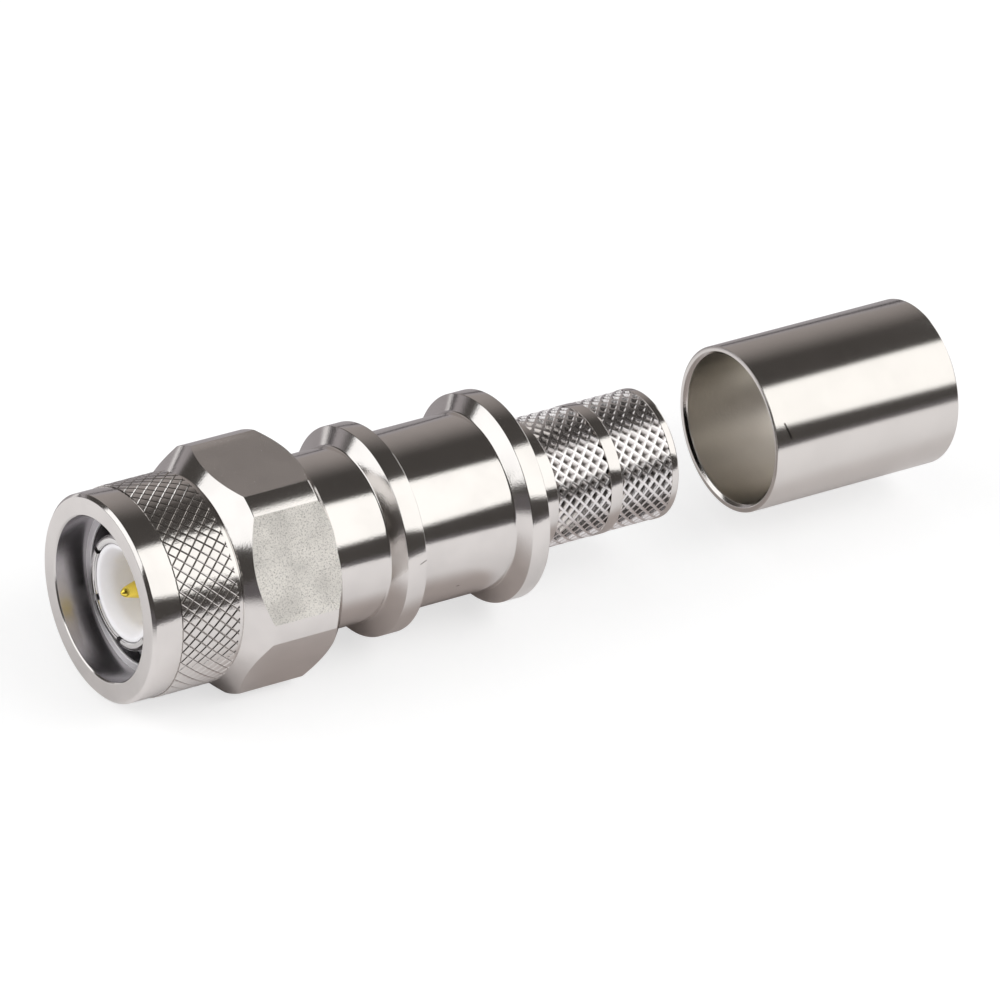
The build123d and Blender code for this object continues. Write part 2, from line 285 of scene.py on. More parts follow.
@dataclass(frozen=True)
class MetalFinish:
    """A plated metal surface with turning marks, grain, specks, painted groove shade and scratches.

    Scales are per millimetre of surface. The groove shade holds two radii: painted shade from the
    first one inward and clear from the second one outward.
    """

    name: str
    colour: Triple
    roughness: float
    grain_per_mm: float = 8.0
    grain_depth_mm: float = 0.0028
    turning_per_mm: float = 9.0
    turning_depth_mm: float = 0.0006
    turning_drift: float = 0.25
    speck: float = 0.0
    speck_per_mm: float = 11.0
    speck_range: Pair = (0.42, 0.78)
    roughness_spread: float = 0.03
    stain: float = 0.06
    stain_per_mm: float = 0.35
    stain_range: Pair = (0.35, 0.7)
    groove_shade: Pair = (0.0, 0.0)
    scratches: tuple[Scratch, ...] = ()

    def material(self) -> Material:
        """Build the material.

        Returns:
            The new material.
        """
        material, graph, shader = new_material(self.name)
        place = graph.vector("MULTIPLY", graph.place(), (1 / MM,) * 3)
        stretch = (self.turning_per_mm, self.turning_drift, self.turning_drift)
        turning = graph.noise(graph.vector("MULTIPLY", place, stretch), 1.0)
        grain = graph.noise(place, self.grain_per_mm, detail=3.0)
        stain = graph.smooth(graph.noise(place, self.stain_per_mm), *self.stain_range)
        dull = tuple(channel * (1 - self.stain) for channel in self.colour)
        tone = graph.mix(stain, self.colour, dull)
        if self.speck > 0:
            fleck = graph.smooth(graph.noise(place, self.speck_per_mm), *self.speck_range)
            tone = graph.mix(fleck * self.speck, tone, DARKENED)
        # Painted shade: darker from the first groove radius inward, where the knurl's grooves lie in
        # shade.
        if self.groove_shade[1] > 0:
            radius = graph.measure("LENGTH", graph.vector("MULTIPLY", place, (0, 1, 1)))
            depth = graph.smooth(radius, self.groove_shade[1], self.groove_shade[0])
            tone = graph.mix(depth, tone, DARKENED)
        for scratch in self.scratches:
            tone = graph.mix(scratch.mask(graph, place), tone, DARKENED)
        roughness = (grain - 0.5) * (2 * self.roughness_spread) + self.roughness
        height = turning * self.turning_depth_mm + grain * self.grain_depth_mm
        graph.fill(shader, {"Base Color": tone, "Metallic": 1.0})
        graph.fill(shader, {"Roughness": roughness, "Normal": graph.bump(height)})
        return material


@dataclass(frozen=True)
class PlasticFinish:
    """A moulded or machined plastic or rubber surface."""

    name: str
    colour: Triple
    roughness: float
    grain_per_mm: float = 5.0
    grain_depth_mm: float = 0.002
    roughness_spread: float = 0.05
    shade: float = 0.04

    def material(self) -> Material:
        """Build the material.

        Returns:
            The new material.
        """
        material, graph, shader = new_material(self.name)
        grain = graph.noise(graph.place(), self.grain_per_mm / MM, detail=3.0)
        dull = tuple(channel * (1 - self.shade) for channel in self.colour)
        roughness = (grain - 0.5) * (2 * self.roughness_spread) + self.roughness
        normal = graph.bump(grain * self.grain_depth_mm)
        graph.fill(shader, {"Base Color": graph.mix(grain, self.colour, dull)})
        graph.fill(shader, {"Roughness": roughness, "Normal": normal})
        return material


NICKEL = (0.73, 0.705, 0.685)
DARKENED = (0.20, 0.185, 0.175)
FLANGE_SCRATCH = Scratch((21.08, -7.33, 1.44), (21.55, -7.29, 1.62), 0.045)
WAIST_SPECK = Scratch((25.4, -5.81, -2.44), (25.6, -5.8, -2.46), 0.05)
FERRULE_NICK = Scratch((52.68, -5.13, 3.21), (53.02, -5.61, 2.27), 0.1)
TURNED = MetalFinish("turned_nickel", NICKEL, 0.11, scratches=(FLANGE_SCRATCH, WAIST_SPECK))
MILLED = MetalFinish("milled_nickel", NICKEL, 0.26, 9.0, 0.002, 2.0, 0.0)
# The worn front flat: its rough, speckled wear is real, and its near-white colour is a painted
# highlight.
WORN_AND_BRIGHTENED = MetalFinish(
    name="worn_nickel_painted_highlight",
    colour=(0.98, 0.955, 0.91),
    roughness=0.50,
    grain_depth_mm=0.001,
    turning_per_mm=2.0,
    turning_depth_mm=0.0,
    speck=0.62,
    roughness_spread=0.1,
    stain=0.2,
)
# Nickel for the hollows: the roughness is the bored surface's own, and the darker colour is painted
# shade inside the hollows.
BORED_AND_SHADED = MetalFinish("bored_nickel_painted_shade", (0.56, 0.54, 0.56), 0.24, 6.0, 0.001, 11.0, 0.001)
# Near-white nickel for the mouth's step: a painted highlight, brighter than the plated metal around it.
STEP_HIGHLIGHT = MetalFinish("step_highlight_nickel", (0.97, 0.96, 0.97), 0.5)
# Both knurls darken their grooves with painted shade through groove_shade.
NUT_KNURL = MetalFinish("nut_knurl_nickel", NICKEL, 0.14, 9.0, 0.009, 2.0, 0.0, groove_shade=(7.332, 7.352))
NECK_KNURL = MetalFinish(
    "neck_knurl_nickel", (0.80, 0.78, 0.78), 0.17, 8.0, 0.006, 2.0, 0.0, groove_shade=(4.3, 4.64)
)
TUBE = MetalFinish(
    "tube_nickel", (0.71, 0.685, 0.66), 0.13, 12.0, 0.003, stain=0.03, scratches=(FERRULE_NICK,)
)
TUBE_INSIDE = MetalFinish("tube_inside", (0.74, 0.71, 0.66), 0.30, 5.0, 0.004)
CONTACT = MetalFinish("contact_nickel", (0.78, 0.77, 0.76), 0.14)
SPRING = MetalFinish("spring_nickel", (0.62, 0.60, 0.58), 0.25)
GOLD = MetalFinish("gold_plate", (0.98, 0.76, 0.12), 0.22, 8.0, 0.001)
PTFE = PlasticFinish("white_ptfe", (0.93, 0.92, 0.94), 0.42)
SILICONE = PlasticFinish("grey_silicone", (0.16, 0.15, 0.15), 0.6)
NUT_FINISHES = (TURNED, MILLED, BORED_AND_SHADED, WORN_AND_BRIGHTENED, STEP_HIGHLIGHT)
Finish = MetalFinish | PlasticFinish


def shade(finish: Finish) -> Material:
    """Return a finish's material, which is built when it is first asked for."""
    return bpy.data.materials.get(finish.name) or finish.material()


def rounded(corners: Sequence[Corner]) -> list[Pair]:
    """Draw a closed half section and round its corners.

    Args:
        corners: The place along the axis, the radius and, where a corner is rounded, how far
            from it the rounding starts, in millimetres.

    Returns:
        The section's points, with each rounded corner as a short curve.
    """
    points = []
    for index, (x, r, *soft) in enumerate(corners):
        if not soft:
            points.append((x, r))
            continue
        ends = []
        for other in (corners[index - 1], corners[(index + 1) % len(corners)]):
            dx, dr = other[0] - x, other[1] - r
            length = hypot(dx, dr)
            reach = min(soft[0], length * FILLET_LIMIT)
            ends.append((x + dx / length * reach, r + dr / length * reach))
        (ax, ar), (bx, br) = ends
        for step in range(FILLET_STEPS + 1):
            t = step / FILLET_STEPS
            near, middle, far = (1 - t) ** 2, 2 * t * (1 - t), t * t
            points.append((near * ax + middle * x + far * bx, near * ar + middle * r + far * br))
    return points


def span(box: Sequence[Vector]) -> Triple:
    """Return where a turned node's box starts and ends and its radius, in millimetres."""
    low, high = box
    return low.x / MM, high.x / MM, high.z / MM


def ring_point(x: float, r: float, angle: float) -> Vector:
    """Return a point in metres at x and r millimetres, turned by angle from straight up."""
    return Vector((x * MM, r * MM * sin(angle), r * MM * cos(angle)))


def lathe(name: str, outline: Sequence[Corner], around: int = AROUND) -> Object:
    """Turn an outline about the axis.

    Args:
        name: The object's name.
        outline: The half section's corners. One that starts and ends on the axis makes a bar,
            and any other makes a tube.
        around: The number of steps around.

    Returns:
        The new object.
    """
    mesh = bmesh.new()
    rings = []
    for x, r in rounded(outline):
        angles = [0.0] if r < MERGE_MM else [2 * pi * step / around for step in range(around)]
        rings.append([mesh.verts.new(ring_point(x, r, angle)) for angle in angles])
    for ring, following in zip(rings, rings[1:] + rings[:1]):
        if len(ring) == 1 and len(following) == 1:
            continue
        for step in range(around):
            after = (step + 1) % around
            corners = [ring[step % len(ring)], ring[after % len(ring)]]
            corners += [following[after % len(following)], following[step % len(following)]]
            mesh.faces.new(list(dict.fromkeys(corners)))
    return to_object(name, mesh)


def add_object(name: str, data: ID) -> Object:
    """Add a new object with its data to the scene."""
    made = bpy.data.objects.new(name, data)
    bpy.context.scene.collection.objects.link(made)
    return made


def write_mesh(mesh: BMesh, data: Mesh) -> None:
    """Write a bmesh to mesh data with its normals outward, and free it."""
    bmesh.ops.recalc_face_normals(mesh, faces=mesh.faces[:])
    mesh.to_mesh(data)
    mesh.free()


def to_object(name: str, mesh: BMesh) -> Object:
    """Write a bmesh to a new object with its normals outward.

    Args:
        name: The object's name.
        mesh: The bmesh, which is freed.

    Returns:
        The new object.
    """
    data = bpy.data.meshes.new(name)
    write_mesh(mesh, data)
    return add_object(name, data)


def cut_off(mesh: BMesh, place: Sequence[float], outward: Sequence[float]) -> list:
    """Cut a mesh at a plane and drop what lies outward of it.

    Args:
        mesh: The bmesh.
        place: A point of the plane, in metres.
        outward: The plane's normal.

    Returns:
        The edges along the cut.
    """
    cut = bmesh.ops.bisect_plane(
        mesh,
        geom=mesh.verts[:] + mesh.edges[:] + mesh.faces[:],
        dist=MERGE_MM * MM / 10,
        plane_co=place,
        plane_no=outward,
        clear_outer=True,
    )
    return [item for item in cut["geom_cut"] if isinstance(item, BMEdge)]


def plain_mesh(piece: Object) -> None:
    """Turn a piece's modifiers into its mesh and remove them.

    Args:
        piece: The piece.
    """
    graph = bpy.context.evaluated_depsgraph_get()
    data = bpy.data.meshes.new_from_object(piece.evaluated_get(graph))
    piece.modifiers.clear()
    piece.data = data
    data.name = piece.name


def subtract(piece: Object, cutters: Sequence[Object]) -> None:
    """Cut other solids out of a piece and remove them.

    Args:
        piece: The piece.
        cutters: The solids.
    """
    for cutter in cutters:
        modifier = piece.modifiers.new("cut", "BOOLEAN")
        modifier.operation = "DIFFERENCE"
        modifier.solver = "EXACT"
        modifier.object = cutter
        plain_mesh(piece)
        bpy.data.objects.remove(cutter)


def dress(
    piece: Object,
    body: Body,
    finishes: Sequence[Finish],
    nodes: Sequence[str] = (),
) -> None:
    """Complete a piece: shade it, give it its finishes and let it ride.

    A piece that a tree made has its finish already.

    Args:
        piece: The piece.
        body: The body that it rides on.
        finishes: Its finishes, in the order of its faces' numbers.
        nodes: The CAD nodes that it stands for.
    """
    if not piece.data.materials:
        for finish in finishes:
            piece.data.materials.append(shade(finish))
    piece.data.shade_smooth()
    piece.data.set_sharp_from_angle(angle=radians(SHARP_DEGREES))
    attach(piece, body.value)
    if nodes:
        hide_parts(*nodes)
    LOG.info("%s: %d faces on %s", piece.name, len(piece.data.polygons), body.value)


def paint_inside(piece: Object, radius: float, start: float, end: float, number: int) -> None:
    """Give a hollow's faces a material of their own.

    Args:
        piece: The turned piece.
        radius: Faces nearer the axis than this many millimetres belong to the hollow.
        start: Where the hollow starts along the axis.
        end: Where it ends.
        number: The material's number on the piece.
    """
    for polygon in piece.data.polygons:
        x, y, z = polygon.center / MM
        if start < x < end and hypot(y, z) < radius:
            polygon.material_index = number


def dress_node(node: str, finish: Finish) -> None:
    """Give a CAD node that stays its finish.

    Args:
        node: The node's name.
        finish: The finish.
    """
    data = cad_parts[node].data
    data.materials.clear()
    data.materials.append(shade(finish))
    LOG.info("%s: CAD node", node)


def run_tree(name: str, tree: NodeTree, values: dict[str, Any]) -> Object:
    """Run a Geometry Nodes tree on an empty mesh.

    Args:
        name: The new object's name.
        tree: The tree.
        values: Input name to value.

    Returns:
        An object that holds the tree's result as a plain mesh.
    """
    made = add_object(name, bpy.data.meshes.new(name))
    modifier = made.modifiers.new("tree", "NODES")
    modifier.node_group = tree
    for item in tree.interface.items_tree:
        if item.item_type == "SOCKET" and item.in_out == "INPUT" and item.name in values:
            modifier[item.identifier] = values[item.name]
    plain_mesh(made)
    return made


def start_tree(name: str, numbers: Sequence[str], counts: Sequence[str]) -> tuple[NodeTree, Graph, Any]:
    """Start a Geometry Nodes tree with named inputs, the last of them its material.

    Args:
        name: The tree's name.
        numbers: The names of the inputs that take a number.
        counts: The names of the inputs that take a whole number.

    Returns:
        The tree, its graph and the outputs of its Group Input node.
    """
    tree = bpy.data.node_groups.new(name, "GeometryNodeTree")
    for kind, labels in (("Float", numbers), ("Int", counts), ("Material", ("Material",))):
        for label in labels:
            tree.interface.new_socket(label, in_out="INPUT", socket_type=f"NodeSocket{kind}")
    tree.interface.new_socket("Geometry", in_out="OUTPUT", socket_type="NodeSocketGeometry")
    graph = Graph(tree)
    return tree, graph, graph.node("NodeGroupInput").outputs


def end_tree(graph: Graph, geometry: NodeSocket, material: NodeSocket) -> None:
    """End a tree in Realize Instances and Set Material.

    Args:
        graph: The tree's graph.
        geometry: What the tree made.
        material: Its material.
    """
    real = graph.node("GeometryNodeRealizeInstances", None, {0: geometry}).outputs[0]
    painted = graph.node("GeometryNodeSetMaterial", None, {"Geometry": real, "Material": material})
    graph.node("NodeGroupOutput", None, {0: painted.outputs[0]})


def knurl_tree() -> NodeTree:
    """Build the tree of a diamond knurl.

    Rhombic tiles are laid out flat, wrapped about the axis and shaped in two steps. Each step
    lifts a tile's top, or sinks it when the lift is negative, and shrinks it to a share of its size.

    Returns:
        The tree.
    """
    sizes = ("Start", "Radius", "Pitch", "First Lift", "First Share", "Second Lift", "Second Share")
    tree, graph, given = start_tree("diamond_knurl", sizes, ("Rows", "Around"))
    pitch, radius = graph.value(given["Pitch"]), graph.value(given["Radius"])
    rows, around = graph.value(given["Rows"]), graph.value(given["Around"])
    step = radius * (2 * pi) / around
    length, girth = rows * pitch, (around - 1) * step
    lattice = graph.node(
        "GeometryNodeMeshGrid",
        None,
        {"Size X": length, "Size Y": girth, "Vertices X": rows + 1, "Vertices Y": around},
    )
    corner = graph.combine(length * 0.5, girth * 0.5)
    middle = graph.combine((length + pitch) * 0.5, (girth + step) * 0.5)
    points = graph.node("GeometryNodeJoinGeometry")
    for shift in (corner, middle):
        moved = graph.node("GeometryNodeTransform", None, {0: lattice.outputs[0], "Translation": shift})
        graph.feed(points.inputs[0], moved.outputs[0])
    tile = graph.node("GeometryNodeMeshCircle", {"fill_type": "NGON"}, {"Vertices": 4, "Radius": 1.0})
    size = graph.combine(pitch * 0.5, step * 0.5, 1.0)
    laid = graph.node(
        "GeometryNodeInstanceOnPoints",
        None,
        {"Points": points.outputs[0], "Instance": tile.outputs[0], "Scale": size},
    )
    sheet = graph.node("GeometryNodeRealizeInstances", None, {0: laid.outputs[0]}).outputs[0]
    x, y, _ = graph.split(graph.node("GeometryNodeInputPosition").outputs[0])
    angle = y / radius
    wrapped = graph.combine(
        x + given["Start"], radius * graph.math("SINE", angle), radius * graph.math("COSINE", angle)
    )
    bent = graph.node("GeometryNodeSetPosition", None, {0: sheet, "Position": wrapped}).outputs[0]
    shape = graph.node("GeometryNodeMergeByDistance", None, {0: bent, "Distance": MERGE_MM * MM})
    mesh, tops = shape.outputs[0], True
    for number in ("First", "Second"):
        lift, share = given[f"{number} Lift"], given[f"{number} Share"]
        lifted = graph.node(
            "GeometryNodeExtrudeMesh",
            {"mode": "FACES"},
            {"Mesh": mesh, "Selection": tops, "Offset Scale": lift, "Individual": True},
        )
        mesh, tops = lifted.outputs["Mesh"], lifted.outputs["Top"]
        shrunk = {"Geometry": mesh, "Selection": tops, "Scale": share}
        mesh = graph.node("GeometryNodeScaleElements", None, shrunk).outputs[0]
    end_tree(graph, mesh, given["Material"])
    return tree


def thread_tree() -> NodeTree:
    """Build the tree of an inside thread.

    A square bar is wound into a helix, right-handed from the mouth. One edge of the bar is the
    thread's crest, and the opposite one is buried in the wall.

    Returns:
        The tree.
    """
    sizes = ("Start", "Length", "Pitch", "Root Radius", "Depth", "Half Width")
    tree, graph, given = start_tree("inside_thread", sizes, ("Sides",))
    length, root = graph.value(given["Length"]), graph.value(given["Root Radius"])
    bar = graph.node(
        "GeometryNodeMeshCylinder",
        {"fill_type": "NGON"},
        {"Vertices": 4, "Side Segments": given["Sides"], "Radius": 1.0, "Depth": length},
    )
    outward, across, height = graph.split(graph.node("GeometryNodeInputPosition").outputs[0])
    along = height + length * 0.5
    angle = along / given["Pitch"] * (2 * pi)
    radius = root + outward * given["Depth"]
    helix = graph.combine(
        along + given["Start"] + across * given["Half Width"],
        radius * graph.math("SINE", angle) * -1.0,
        radius * graph.math("COSINE", angle),
    )
    wound = graph.node("GeometryNodeSetPosition", None, {0: bar.outputs[0], "Position": helix})
    end_tree(graph, wound.outputs[0], given["Material"])
    return tree


@dataclass
class KnurlBand:
    """A knurled band about the axis. Sizes are in millimetres.

    Each of its two steps is a lift, which sinks when it is negative, and the top's share of the tile.
    """

    start: float
    length: float
    radius: float
    backing: float
    around: int
    pitch: float
    first: Pair
    second: Pair

    def build(self, name: str, finish: MetalFinish) -> Object:
        """Make the band as one closed ring.

        Args:
            name: The object's name.
            finish: The band's finish.

        Returns:
            The new object.
        """
        tree = bpy.data.node_groups.get("diamond_knurl") or knurl_tree()
        values = {
            "Start": (self.start - self.pitch) * MM,
            "Radius": self.radius * MM,
            "Pitch": self.pitch * MM,
            "Rows": round(self.length / self.pitch) + SPARE_ROWS,
            "Around": self.around,
            "First Lift": self.first[0] * MM,
            "First Share": self.first[1],
            "Second Lift": self.second[0] * MM,
            "Second Share": self.second[1],
            "Material": shade(finish),
        }
        made = run_tree(name, tree, values)
        self.close(made)
        return made

    def close(self, piece: Object) -> None:
        """Trim the sheet to the band's length and close it on its inner side.

        Args:
            piece: The band as its tree made it.
        """
        mesh = bmesh.new()
        mesh.from_mesh(piece.data)
        bmesh.ops.remove_doubles(mesh, verts=mesh.verts[:], dist=MERGE_MM * MM)
        ends = (self.start, self.start + self.length)
        for x, outward in zip(ends, (-1, 1)):
            cut_off(mesh, (x * MM, 0, 0), (outward, 0, 0))
        inner = []
        for x in ends:
            rim = [
                edge
                for edge in mesh.edges
                if edge.is_boundary and all(abs(v.co.x - x * MM) < MERGE_MM * MM for v in edge.verts)
            ]
            drawn = bmesh.ops.extrude_edge_only(mesh, edges=rim)["geom"]
            for item in drawn:
                if isinstance(item, BMVert):
                    item.co = ring_point(x, self.backing, atan2(item.co.y, item.co.z))
                elif isinstance(item, BMEdge) and item.is_boundary:
                    inner.append(item)
        bmesh.ops.bridge_loops(mesh, edges=inner)
        open_edges = sum(1 for edge in mesh.edges if not edge.is_manifold)
        LOG.info("%s: %d open edges", piece.name, open_edges)
        write_mesh(mesh, piece.data)


@dataclass
class CouplingNut:
    """The coupling nut: plain ring, knurl, scalloped cone and milled hexagon."""

    ring_length: float = 2.25
    ring_radius: float = 7.32
    knurl_length: float = 4.45
    knurl_floor: float = 7.33
    knurl_backing: float = 6.7
    land_length: float = 0.55
    land_radius: float = 7.1
    land_slope: float = 0.1
    cone_length: float = 1.45
    cone_foot: float = 7.0
    edge: float = 0.22
    corner_rise: float = 0.74
    lip: float = 0.1
    mouth_radius: float = 5.78
    mouth_depth: float = 2.5
    step_edge: float = 0.15
    step_inset: float = 0.02
    thread_minor: float = 5.16
    thread_major: float = 5.68
    thread_start: float = 2.95
    thread_end: float = 9.2
    thread_pitch: float = 0.907
    ridge_share: float = 0.44
    relief_end: float = 10.2
    rear_bore: float = 6.25
    groove_radius: float = 6.82
    groove_start: float = 11.88
    groove_end: float = 13.02
    worn_flat: int = 5
    worn_depth: float = 0.12

    def __post_init__(self) -> None:
        """Read the length and the width across flats from the frame."""
        low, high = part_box("coupling_nut")
        self.length = high.x / MM
        self.flat_radius = -low.z / MM
        self.stock_radius = self.flat_radius + self.corner_rise

    def outline(self) -> list[Corner]:
        """Return the nut's half section."""
        knurl_end = self.ring_length + self.knurl_length
        cone_start = knurl_end + self.land_length
        hex_start = cone_start + self.cone_length
        return [
            (0, self.ring_radius - self.edge, 0.03),
            (self.edge, self.ring_radius, 0.03),
            (self.ring_length, self.ring_radius, 0.02),
            (self.ring_length, self.knurl_backing),
            (knurl_end, self.knurl_backing),
            (knurl_end, self.land_radius, 0.06),
            (cone_start - self.land_slope, self.land_radius, 0.1),
            (cone_start, self.cone_foot, 0.1),
            (hex_start, self.stock_radius, 0.05),
            (self.length - self.corner_rise, self.stock_radius, 0.05),
            (self.length, self.flat_radius, 0.05),
            (self.length, self.rear_bore, 0.1),
            (self.groove_end, self.rear_bore),
            (self.groove_end, self.groove_radius),
            (self.groove_start, self.groove_radius),
            (self.groove_start, self.rear_bore),
            (self.relief_end, self.rear_bore),
            (self.relief_end, self.thread_major),
            (self.thread_start, self.thread_major),
            (self.thread_start, self.thread_minor, 0.05),
            (self.mouth_depth, self.thread_minor, 0.12),
            (self.mouth_depth, self.mouth_radius, 0.05),
            (self.lip, self.mouth_radius, 0.03),
            (0, self.mouth_radius + self.lip, 0.03),
        ]

    def mill_flats(self, piece: Object) -> None:
        """Cut the six flats and number their materials.

        Args:
            piece: The turned nut.
        """
        mesh = bmesh.new()
        mesh.from_mesh(piece.data)
        for index in range(HEX_SIDES):
            angle = index * 2 * pi / HEX_SIDES
            normal = Vector((0, sin(angle), cos(angle)))
            worn = index == self.worn_flat
            depth = self.worn_depth if worn else 0.0
            rim = cut_off(mesh, normal * (self.flat_radius - depth) * MM, normal)
            for face in bmesh.ops.edgeloop_fill(mesh, edges=rim)["faces"]:
                face.material_index = NUT_FINISHES.index(WORN_AND_BRIGHTENED if worn else MILLED)
        mesh.to_mesh(piece.data)
        mesh.free()

    def build(self) -> None:
        """Make the nut, its knurl and its thread."""
        shell = lathe("coupling_nut_shell", self.outline())
        self.mill_flats(shell)
        bored_and_shaded, step_highlight = NUT_FINISHES.index(BORED_AND_SHADED), NUT_FINISHES.index(STEP_HIGHLIGHT)
        paint_inside(shell, self.mouth_radius + SKIN_MM, self.lip, self.length - self.lip, bored_and_shaded)
        # The mouth's step gets the painted highlight.
        step_start, step_end = self.mouth_depth - SKIN_MM, self.mouth_depth + self.step_edge
        paint_inside(shell, self.mouth_radius - self.step_inset, step_start, step_end, step_highlight)
        dress(shell, Body.NUT, NUT_FINISHES, ("coupling_nut",))
        band = KnurlBand(
            start=self.ring_length,
            length=self.knurl_length,
            radius=self.knurl_floor,
            backing=self.knurl_backing - OVERLAP_MM,
            around=52,
            pitch=0.95,
            first=(0.062, 0.785),
            second=(0.012, 0.6),
        )
        made = band.build("coupling_nut_knurl", NUT_KNURL)
        dress(made, Body.NUT, (NUT_KNURL,))
        self.thread()

    def thread(self) -> None:
        """Make the coupling thread as one helical ridge in the bore."""
        length = self.thread_end - self.thread_start - 2 * self.thread_pitch
        values = {
            "Start": (self.thread_start + self.thread_pitch) * MM,
            "Length": length * MM,
            "Pitch": self.thread_pitch * MM,
            "Root Radius": self.thread_major * MM,
            "Depth": (self.thread_major - self.thread_minor) * MM,
            "Half Width": self.thread_pitch * self.ridge_share * MM,
            "Sides": round(length / self.thread_pitch) * THREAD_STEPS,
            "Material": shade(BORED_AND_SHADED),
        }
        ridge = run_tree("coupling_thread_ridge", thread_tree(), values)
        mesh = bmesh.new()
        mesh.from_mesh(ridge.data)
        write_mesh(mesh, ridge.data)
        dress(ridge, Body.NUT, (BORED_AND_SHADED,))


@dataclass
class PlugBody:
    """The plug body: barrel, two flanges, waist and crimp neck."""

    spigot_radius: float = 5.0
    barrel_start: float = 10.4
    barrel_radius: float = 6.2
    groove_start: float = 12.0
    groove_end: float = 12.92
    groove_radius: float = 5.6
    waist_radius: float = 6.3
    flange_cone: float = 0.68
    front_flange: float = 19.45
    front_rim: float = 1.47
    rear_flange: float = 29.6
    rear_rim: float = 1.42
    neck_radius: float = 4.7
    collar_length: float = 2.56
    front_band: float = 4.4
    plain_ring: float = 0.95
    rear_band: float = 4.17
    band_backing: float = 4.1
    band_drop: float = 0.03
    contact_seat: float = 4.07
    contact_end: float = 11.0
    contact_bore: float = 3.47
    cable_bore: float = 3.75
    cable_bore_start: float = 24.0

    def __post_init__(self) -> None:
        """Read the ends and the flange radius from the frame."""
        self.start, self.end, self.flange_radius = span(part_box("plug_body"))
        front = self.rear_flange + self.flange_cone + self.rear_rim + self.collar_length
        rear = front + self.front_band + self.plain_ring
        self.bands = (("front", front, self.front_band), ("rear", rear, self.rear_band))

    def outline(self) -> list[Corner]:
        """Return the body's half section, with a recess under each knurled band."""
        front_start = self.front_flange + self.flange_cone
        front_end = front_start + self.front_rim
        rear_start = self.rear_flange + self.flange_cone
        rear_end = rear_start + self.rear_rim
        shape = [
            (self.start, self.spigot_radius, 0.1),
            (self.barrel_start, self.spigot_radius),
            (self.barrel_start, self.barrel_radius, 0.15),
            (self.groove_start, self.barrel_radius),
            (self.groove_start, self.groove_radius),
            (self.groove_end, self.groove_radius),
            (self.groove_end, self.barrel_radius),
            (self.front_flange, self.barrel_radius, 0.12),
            (front_start, self.flange_radius, 0.05),
            (front_end, self.flange_radius, 0.06),
            (front_end, self.waist_radius, 0.05),
            (self.rear_flange, self.waist_radius, 0.12),
            (rear_start, self.flange_radius, 0.05),
            (rear_end, self.flange_radius, 0.06),
            (rear_end, self.neck_radius, 0.1),
        ]
        for _, start, length in self.bands:
            end = start + length
            shape += [(start, self.neck_radius, 0.04), (start, self.band_backing)]
            shape += [(end, self.band_backing), (end, self.neck_radius, 0.04)]
        return shape + [
            (self.end, self.neck_radius, 0.16),
            (self.end, self.cable_bore, 0.12),
            (self.cable_bore_start, self.cable_bore),
            (self.cable_bore_start, self.contact_bore),
            (self.contact_end, self.contact_bore),
            (self.contact_end, self.contact_seat),
            (self.start, self.contact_seat),
        ]

    def build(self) -> None:
        """Make the body and its two knurled bands."""
        shell = lathe("plug_body_shell", self.outline())
        paint_inside(shell, self.cable_bore + SKIN_MM, self.start, self.end, 1)
        dress(shell, Body.PLUG, (TURNED, BORED_AND_SHADED), ("plug_body",))
        for place, start, length in self.bands:
            band = KnurlBand(
                start=start,
                length=length,
                radius=self.neck_radius - self.band_drop,
                backing=self.band_backing - OVERLAP_MM,
                around=30,
                pitch=0.88,
                first=(0.0, 0.76),
                second=(-0.34, 0.14),
            )
            made = band.build(f"neck_knurl_{place}", NECK_KNURL)
            dress(made, Body.PLUG, (NECK_KNURL,))


